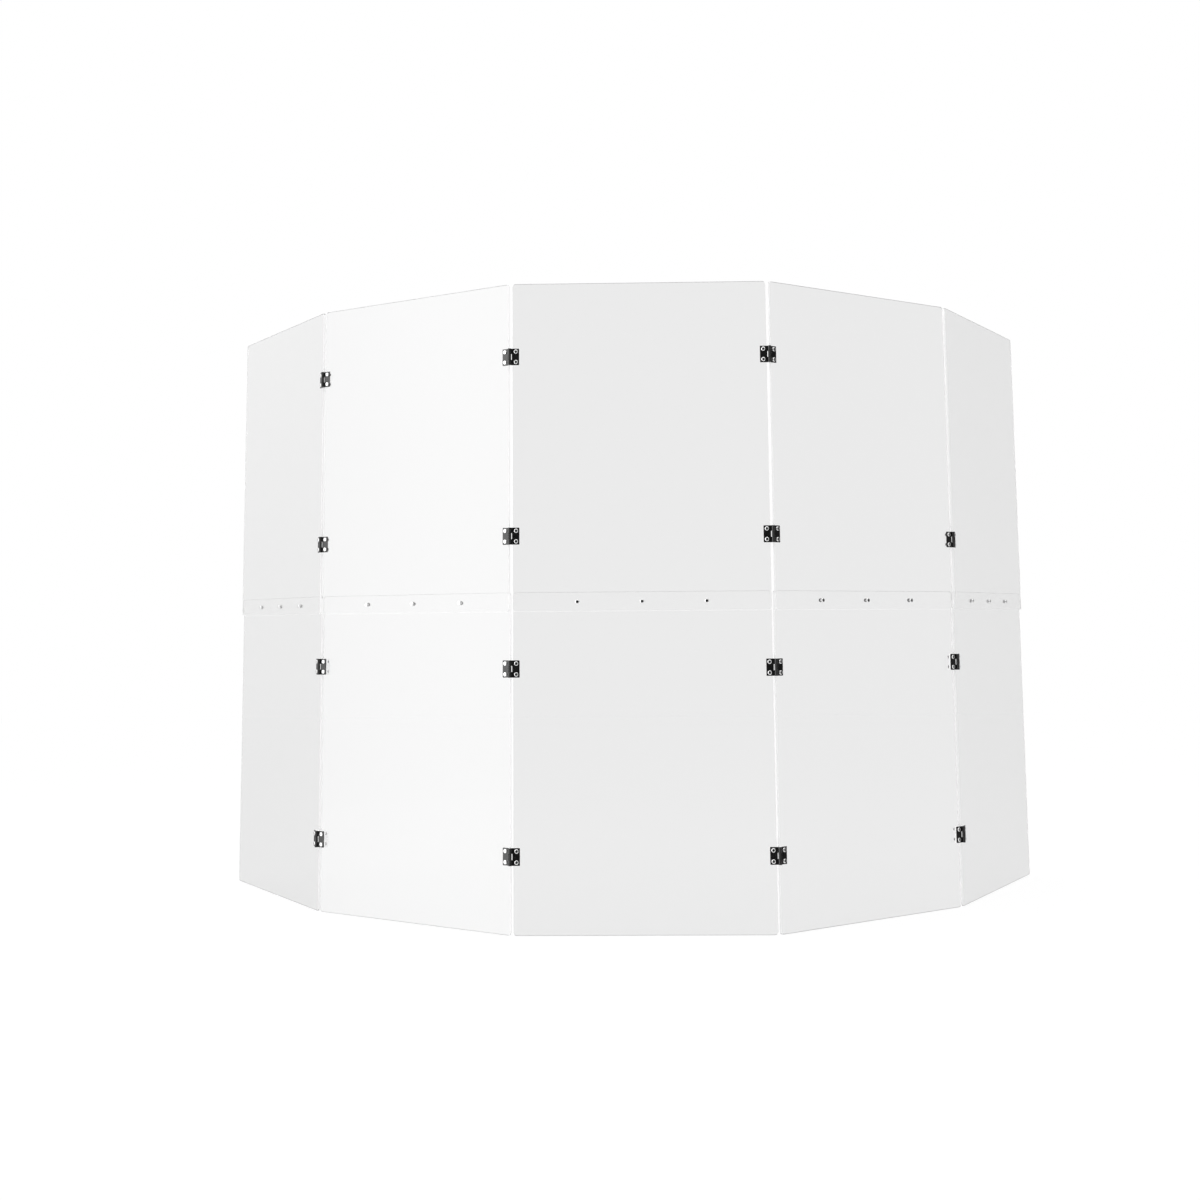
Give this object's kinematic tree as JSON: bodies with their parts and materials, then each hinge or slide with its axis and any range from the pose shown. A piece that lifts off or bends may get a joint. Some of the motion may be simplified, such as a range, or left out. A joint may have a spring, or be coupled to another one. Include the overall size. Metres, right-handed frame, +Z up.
{
  "type": "folding drum shield",
  "caption": "Free-standing folding clear screen of hinged columns that stands round a drum kit; each column is a lower and an upper acrylic sheet bolted at a lap.",
  "frame": {"origin": "middle of the centre column's bottom edge, on the floor, half way through the lower sheet's thickness", "axes": "+Z up, -Y towards the audience and +Y towards the drummer, +X along the centre sheet to the right as the audience sees it"},
  "size_m": [2.2371, 0.9379, 1.524],
  "materials": {
    "clear_acrylic": "clear cast sheet, polished faces and edges",
    "black_hinge": "black, satin",
    "bright_steel": "bright, slightly brushed"
  },
  "bodies": {
    "centre_column": {"centre_lower_sheet": "clear_acrylic", "centre_upper_sheet": "clear_acrylic", "left_hinge_1_inner_leaf": "black_hinge", "left_hinge_2_inner_leaf": "black_hinge", "left_hinge_3_inner_leaf": "black_hinge", "left_hinge_4_inner_leaf": "black_hinge", "left_hinge_1_pin": "bright_steel", "left_hinge_2_pin": "bright_steel", "left_hinge_3_pin": "bright_steel", "left_hinge_4_pin": "bright_steel", "right_hinge_1_inner_leaf": "black_hinge", "right_hinge_2_inner_leaf": "black_hinge", "right_hinge_3_inner_leaf": "black_hinge", "right_hinge_4_inner_leaf": "black_hinge", "right_hinge_1_pin": "bright_steel", "right_hinge_2_pin": "bright_steel", "right_hinge_3_pin": "bright_steel", "right_hinge_4_pin": "bright_steel"},
    "left_column": {"left_lower_sheet": "clear_acrylic", "left_upper_sheet": "clear_acrylic", "left_hinge_1_outer_leaf": "black_hinge", "left_hinge_2_outer_leaf": "black_hinge", "left_hinge_3_outer_leaf": "black_hinge", "left_hinge_4_outer_leaf": "black_hinge", "far_left_hinge_1_inner_leaf": "black_hinge", "far_left_hinge_2_inner_leaf": "black_hinge", "far_left_hinge_3_inner_leaf": "black_hinge", "far_left_hinge_4_inner_leaf": "black_hinge", "far_left_hinge_1_pin": "bright_steel", "far_left_hinge_2_pin": "bright_steel", "far_left_hinge_3_pin": "bright_steel", "far_left_hinge_4_pin": "bright_steel"},
    "far_left_column": {"far_left_lower_sheet": "clear_acrylic", "far_left_upper_sheet": "clear_acrylic", "far_left_hinge_1_outer_leaf": "black_hinge", "far_left_hinge_2_outer_leaf": "black_hinge", "far_left_hinge_3_outer_leaf": "black_hinge", "far_left_hinge_4_outer_leaf": "black_hinge"},
    "right_column": {"right_lower_sheet": "clear_acrylic", "right_upper_sheet": "clear_acrylic", "right_hinge_1_outer_leaf": "black_hinge", "right_hinge_2_outer_leaf": "black_hinge", "right_hinge_3_outer_leaf": "black_hinge", "right_hinge_4_outer_leaf": "black_hinge", "far_right_hinge_1_inner_leaf": "black_hinge", "far_right_hinge_2_inner_leaf": "black_hinge", "far_right_hinge_3_inner_leaf": "black_hinge", "far_right_hinge_1_pin": "bright_steel", "far_right_hinge_2_pin": "bright_steel", "far_right_hinge_3_pin": "bright_steel"},
    "far_right_column": {"far_right_lower_sheet": "clear_acrylic", "far_right_upper_sheet": "clear_acrylic", "far_right_hinge_1_outer_leaf": "black_hinge", "far_right_hinge_2_outer_leaf": "black_hinge", "far_right_hinge_3_outer_leaf": "black_hinge"}
  },
  "joints": [
    {"name": "left_fold", "type": "hinge", "parent": "centre_column", "child": "left_column", "pos_m": [-0.3112, -0.0121, 0.762], "axis": [0, 0, -1], "range_deg": [-124, 11]},
    {"name": "far_left_fold", "type": "hinge", "parent": "left_column", "child": "far_left_column", "pos_m": [-0.82719, 0.33594, 0.762], "axis": [0, 0, -1], "range_deg": [-189, 21]},
    {"name": "right_fold", "type": "hinge", "parent": "centre_column", "child": "right_column", "pos_m": [0.3112, -0.0121, 0.762], "axis": [0, 0, 1], "range_deg": [-128, 7]},
    {"name": "far_right_fold", "type": "hinge", "parent": "right_column", "child": "far_right_column", "pos_m": [0.80166, 0.37109, 0.762], "axis": [0, 0, 1], "range_deg": [-189, 21]}
  ]
}
